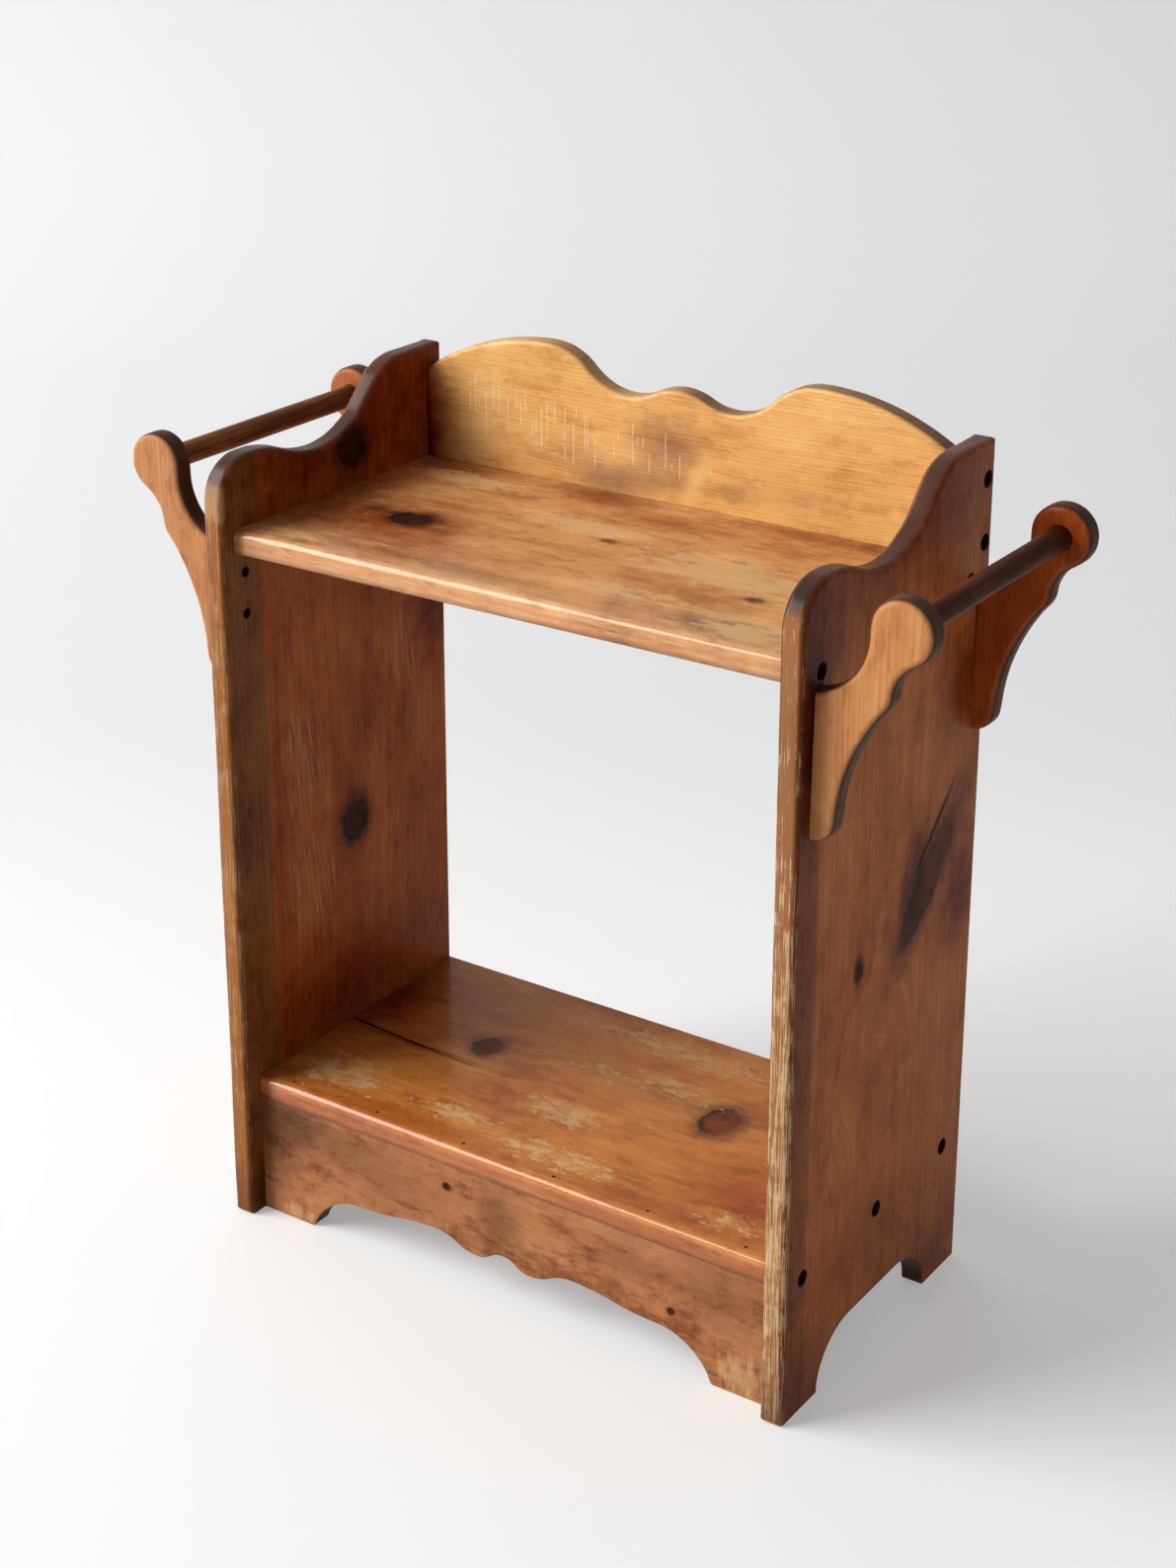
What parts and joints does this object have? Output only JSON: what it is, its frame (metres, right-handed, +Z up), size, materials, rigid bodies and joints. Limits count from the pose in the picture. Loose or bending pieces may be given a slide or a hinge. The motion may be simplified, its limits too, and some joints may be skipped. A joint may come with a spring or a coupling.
{
  "type": "washstand",
  "caption": "Small knotty pine washstand: shaped side panels, an open bay between the wash shelf and a floor shelf, a scalloped backsplash and apron, and a towel rod on brackets at each side.",
  "frame": {"origin": "on the floor, below the middle of the stand", "axes": "+X to the right seen from the front, +Y from the front to the back, +Z up"},
  "size_m": [0.7192, 0.286, 0.73],
  "materials": {
    "side_pine": "satin",
    "shelf_pine": "satin",
    "golden_pine": "satin",
    "apron_pine": "satin",
    "bracket_pine": "satin",
    "rod_walnut": "satin",
    "screw_steel": "dull"
  },
  "bodies": {
    "stand": {"left_side_panel": "side_pine", "right_side_panel": "side_pine", "wash_shelf": "shelf_pine", "floor_shelf": "shelf_pine", "backsplash": "golden_pine", "front_apron": "apron_pine", "left_front_bracket": "bracket_pine", "left_rear_bracket": "bracket_pine", "right_front_bracket": "bracket_pine", "right_rear_bracket": "bracket_pine", "left_wash_shelf_screw_front": "screw_steel", "left_wash_shelf_screw_middle": "screw_steel", "left_wash_shelf_screw_rear": "screw_steel", "left_floor_shelf_screw_front": "screw_steel", "left_floor_shelf_screw_middle": "screw_steel", "left_floor_shelf_screw_rear": "screw_steel", "right_wash_shelf_screw_front": "screw_steel", "right_wash_shelf_screw_middle": "screw_steel", "right_wash_shelf_screw_rear": "screw_steel", "right_floor_shelf_screw_front": "screw_steel", "right_floor_shelf_screw_middle": "screw_steel", "right_floor_shelf_screw_rear": "screw_steel", "left_backsplash_screw_low": "screw_steel", "left_backsplash_screw_high": "screw_steel", "right_backsplash_screw_low": "screw_steel", "right_backsplash_screw_high": "screw_steel", "left_front_bracket_screw_high": "screw_steel", "left_front_bracket_screw_low": "screw_steel", "left_rear_bracket_screw_high": "screw_steel", "left_rear_bracket_screw_low": "screw_steel", "right_front_bracket_screw_high": "screw_steel", "right_front_bracket_screw_low": "screw_steel", "right_rear_bracket_screw_high": "screw_steel", "right_rear_bracket_screw_low": "screw_steel", "apron_nail_1": "screw_steel", "apron_nail_2": "screw_steel", "apron_nail_3": "screw_steel", "apron_nail_4": "screw_steel", "apron_nail_5": "screw_steel", "apron_nail_6": "screw_steel"},
    "left_rod": {"left_towel_rod": "rod_walnut"},
    "right_rod": {"right_towel_rod": "rod_walnut"}
  },
  "joints": [
    {"name": "left_rod_spin", "type": "hinge", "parent": "stand", "child": "left_rod", "pos_m": [-0.33485, 0.00835, 0.6533], "axis": [0, 1, 0], "continuous": true},
    {"name": "right_rod_spin", "type": "hinge", "parent": "stand", "child": "right_rod", "pos_m": [0.33485, 0.00835, 0.6475], "axis": [0, 1, 0], "continuous": true}
  ]
}
